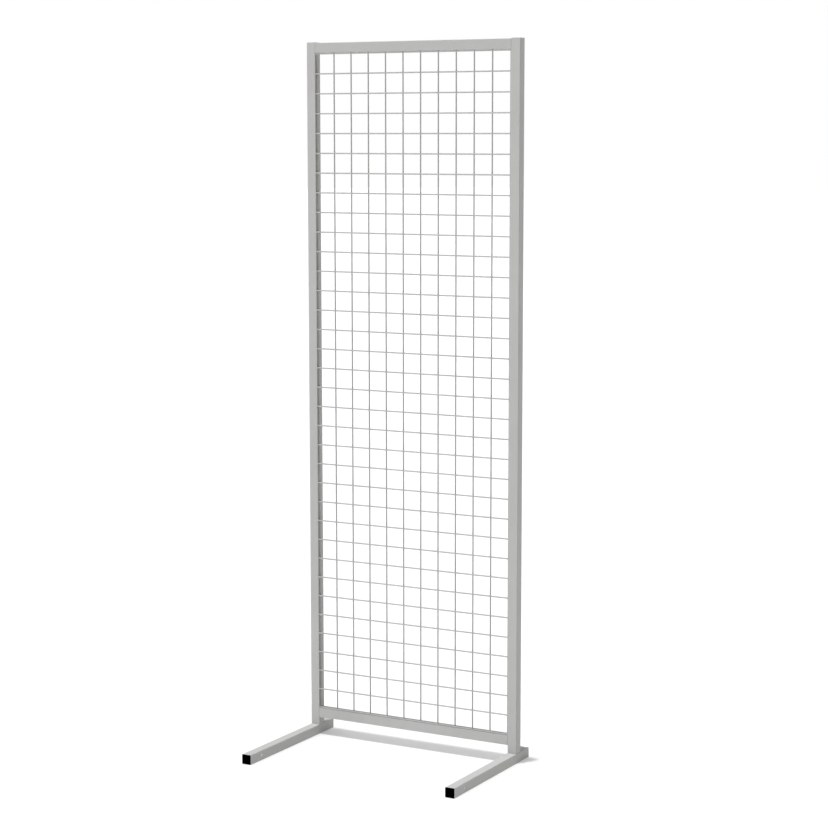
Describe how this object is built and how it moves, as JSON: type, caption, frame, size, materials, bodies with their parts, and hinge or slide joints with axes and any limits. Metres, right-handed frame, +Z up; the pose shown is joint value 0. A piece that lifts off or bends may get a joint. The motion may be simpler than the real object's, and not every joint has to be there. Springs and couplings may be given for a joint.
{
  "type": "gridwall display panel",
  "caption": "Free-standing wire-grid display panel: square-tube frame filled with welded wire mesh, standing on two straight foot bars that plug into its posts.",
  "frame": {"origin": "on the floor, midway between the two feet and midway along their length", "axes": "+X to the right as seen from the front, +Y to the back, +Z up; the long ends of the feet and the cross wires are on the -Y side"},
  "size_m": [0.605, 0.403, 1.8015],
  "materials": {
    "frame_coat": "satin light grey powder coat on steel tube",
    "wire_coat": "satin light grey powder coat on steel wire",
    "cap_plastic": "fine-textured light grey plastic",
    "plug_plastic": "matt black plastic"
  },
  "bodies": {
    "panel": {"post_left": "frame_coat", "post_right": "frame_coat", "top_rail": "frame_coat", "bottom_rail": "frame_coat", "post_cap_left": "cap_plastic", "post_cap_right": "cap_plastic", "upright_wire_01": "wire_coat", "upright_wire_02": "wire_coat", "upright_wire_03": "wire_coat", "upright_wire_04": "wire_coat", "upright_wire_05": "wire_coat", "upright_wire_06": "wire_coat", "upright_wire_07": "wire_coat", "upright_wire_08": "wire_coat", "upright_wire_09": "wire_coat", "upright_wire_10": "wire_coat", "upright_wire_11": "wire_coat", "upright_wire_12": "wire_coat", "cross_wire_01": "wire_coat", "cross_wire_02": "wire_coat", "cross_wire_03": "wire_coat", "cross_wire_04": "wire_coat", "cross_wire_05": "wire_coat", "cross_wire_06": "wire_coat", "cross_wire_07": "wire_coat", "cross_wire_08": "wire_coat", "cross_wire_09": "wire_coat", "cross_wire_10": "wire_coat", "cross_wire_11": "wire_coat", "cross_wire_12": "wire_coat", "cross_wire_13": "wire_coat", "cross_wire_14": "wire_coat", "cross_wire_15": "wire_coat", "cross_wire_16": "wire_coat", "cross_wire_17": "wire_coat", "cross_wire_18": "wire_coat", "cross_wire_19": "wire_coat", "cross_wire_20": "wire_coat", "cross_wire_21": "wire_coat", "cross_wire_22": "wire_coat", "cross_wire_23": "wire_coat", "cross_wire_24": "wire_coat", "cross_wire_25": "wire_coat", "cross_wire_26": "wire_coat", "cross_wire_27": "wire_coat", "cross_wire_28": "wire_coat", "cross_wire_29": "wire_coat", "cross_wire_30": "wire_coat", "cross_wire_31": "wire_coat", "cross_wire_32": "wire_coat", "cross_wire_33": "wire_coat", "cross_wire_34": "wire_coat", "cross_wire_35": "wire_coat"},
    "left_foot": {"foot_left": "frame_coat", "foot_plug_front_left": "plug_plastic", "foot_plug_rear_left": "plug_plastic"},
    "right_foot": {"foot_right": "frame_coat", "foot_plug_front_right": "plug_plastic", "foot_plug_rear_right": "plug_plastic"}
  },
  "joints": [
    {"name": "left_foot_pull", "type": "slide", "parent": "panel", "child": "left_foot", "axis": [0, 0, -1], "range_m": [0, 0.07]},
    {"name": "right_foot_pull", "type": "slide", "parent": "panel", "child": "right_foot", "axis": [0, 0, -1], "range_m": [0, 0.07]}
  ]
}
